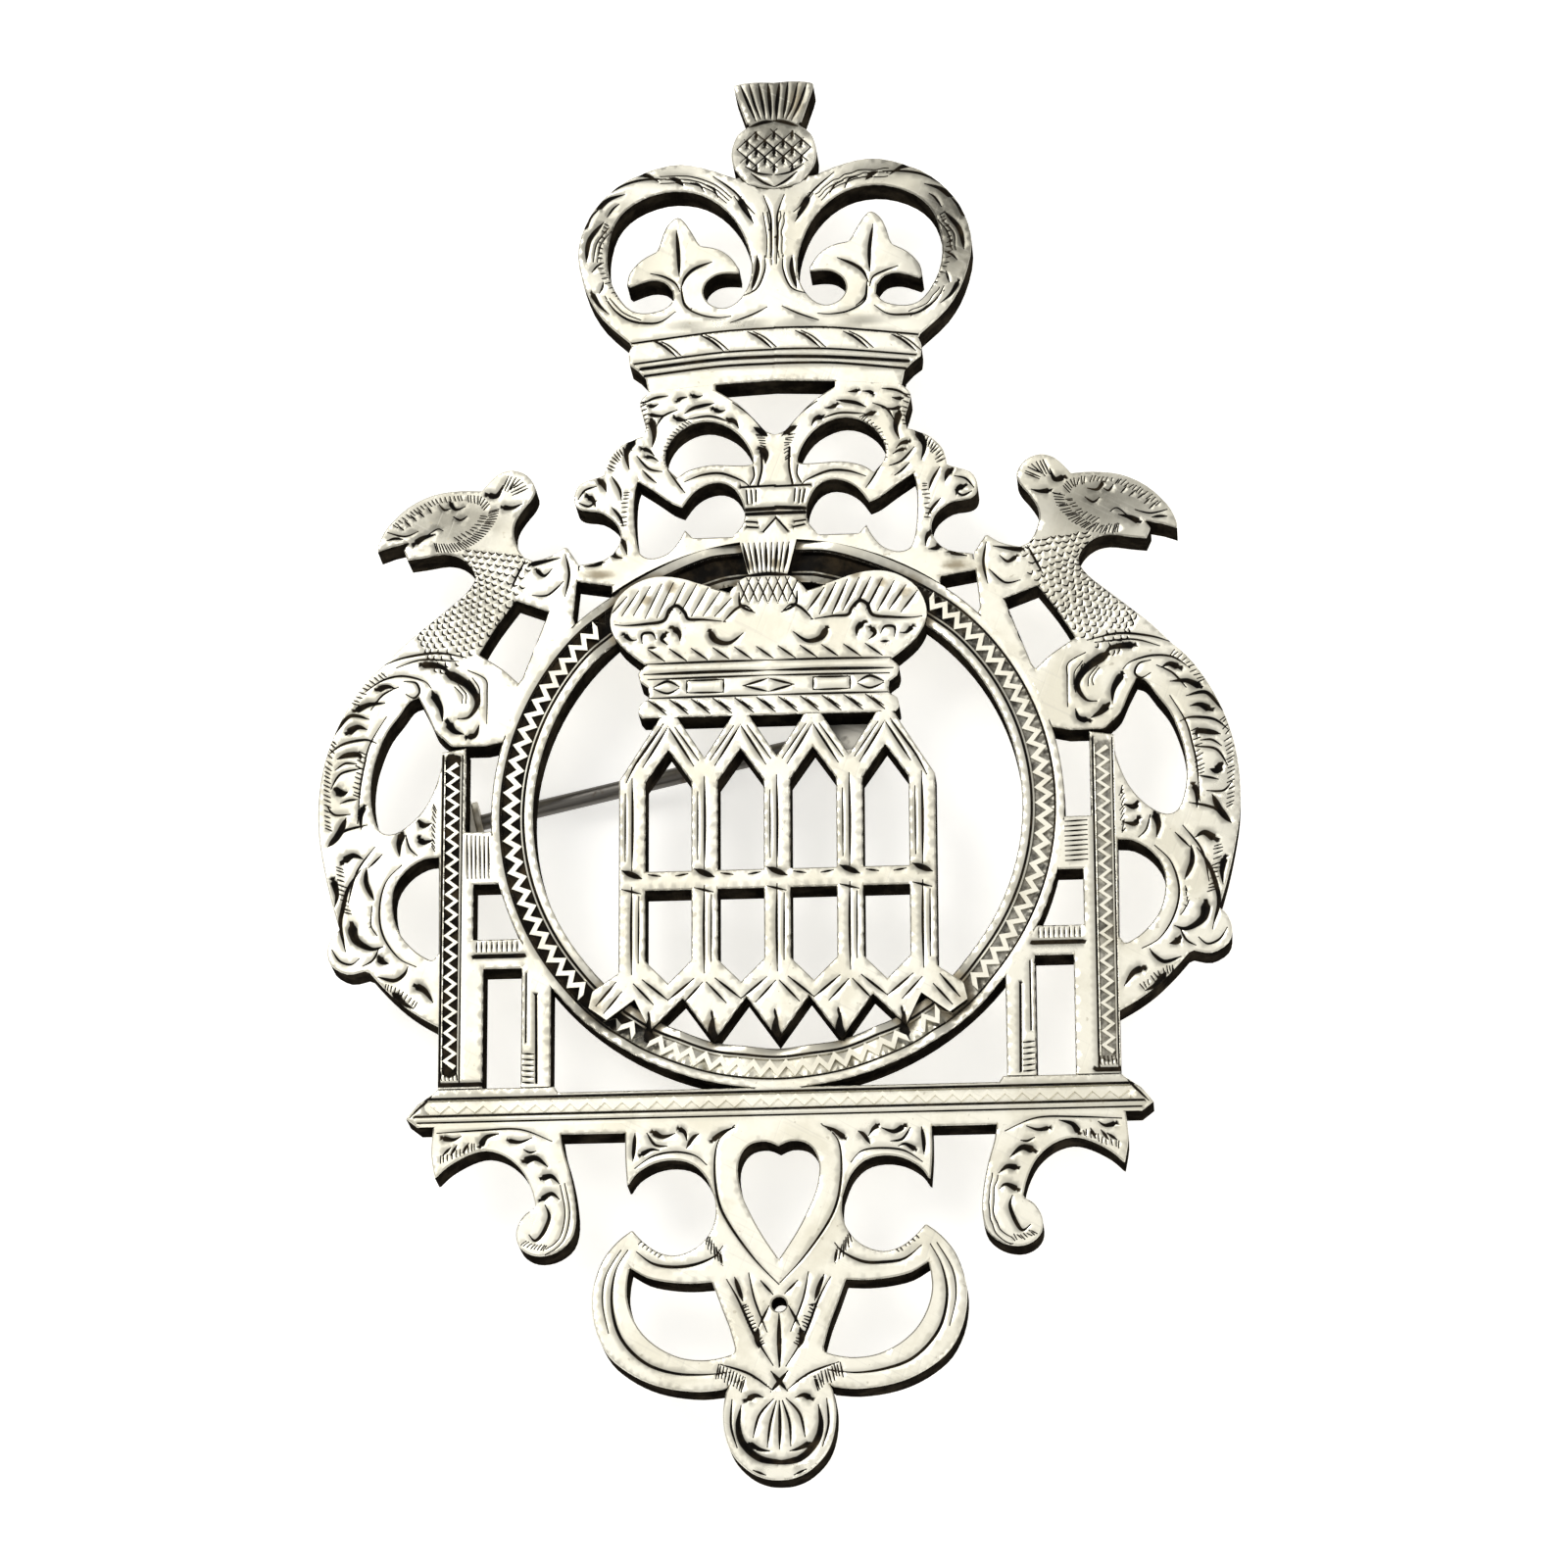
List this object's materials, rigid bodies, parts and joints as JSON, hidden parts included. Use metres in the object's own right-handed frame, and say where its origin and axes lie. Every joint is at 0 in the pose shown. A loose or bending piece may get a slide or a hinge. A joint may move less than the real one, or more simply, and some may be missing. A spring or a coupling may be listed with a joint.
{
  "type": "cap badge",
  "caption": "Pierced and engraved silver cap badge: thistle and crown over a ring of tracery between beaked supporters, with a hinged pin and a turning catch behind.",
  "frame": {"origin": "middle of the badge's outline, at the lowest level of the pin fittings that the badge lies on", "axes": "+Z out of the engraved face, +Y towards the thistle at the top, +X to the right seen from the face"},
  "size_m": [0.0472, 0.075, 0.005],
  "materials": {
    "engraved_silver": "polished silver with blackened engraving and edges",
    "fitting_silver": "unpolished silver, lightly tarnished",
    "pin_steel": "drawn wire, satin"
  },
  "bodies": {
    "badge": {"thistle_finial": "engraved_silver", "crown_arches": "engraved_silver", "crown_circlet": "engraved_silver", "neck_scrolls": "engraved_silver", "ring": "engraved_silver", "small_crown": "engraved_silver", "tracery_panel": "engraved_silver", "left_supporter": "engraved_silver", "right_supporter": "engraved_silver", "left_pillar": "engraved_silver", "right_pillar": "engraved_silver", "base_bar": "engraved_silver", "left_leaf_scroll": "engraved_silver", "right_leaf_scroll": "engraved_silver", "heart_frame": "engraved_silver", "crescent_shield": "engraved_silver", "drop_roundel": "engraved_silver", "hinge_block": "fitting_silver", "hinge_rivet": "pin_steel", "catch_body": "fitting_silver"},
    "pin": {"pin_stem": "pin_steel"},
    "rotor": {"catch_rotor": "fitting_silver"}
  },
  "joints": [
    {"name": "pin_swing", "type": "hinge", "parent": "badge", "child": "pin", "pos_m": [0.0042, 0.0024, 0.0013], "axis": [0.2164, -0.9763, 0], "range_deg": [0, 95]},
    {"name": "catch_turn", "type": "hinge", "parent": "badge", "child": "rotor", "pos_m": [-0.0165, -0.00219, 0.0013], "axis": [0.9763, 0.2164, 0], "range_deg": [0, 165]}
  ]
}
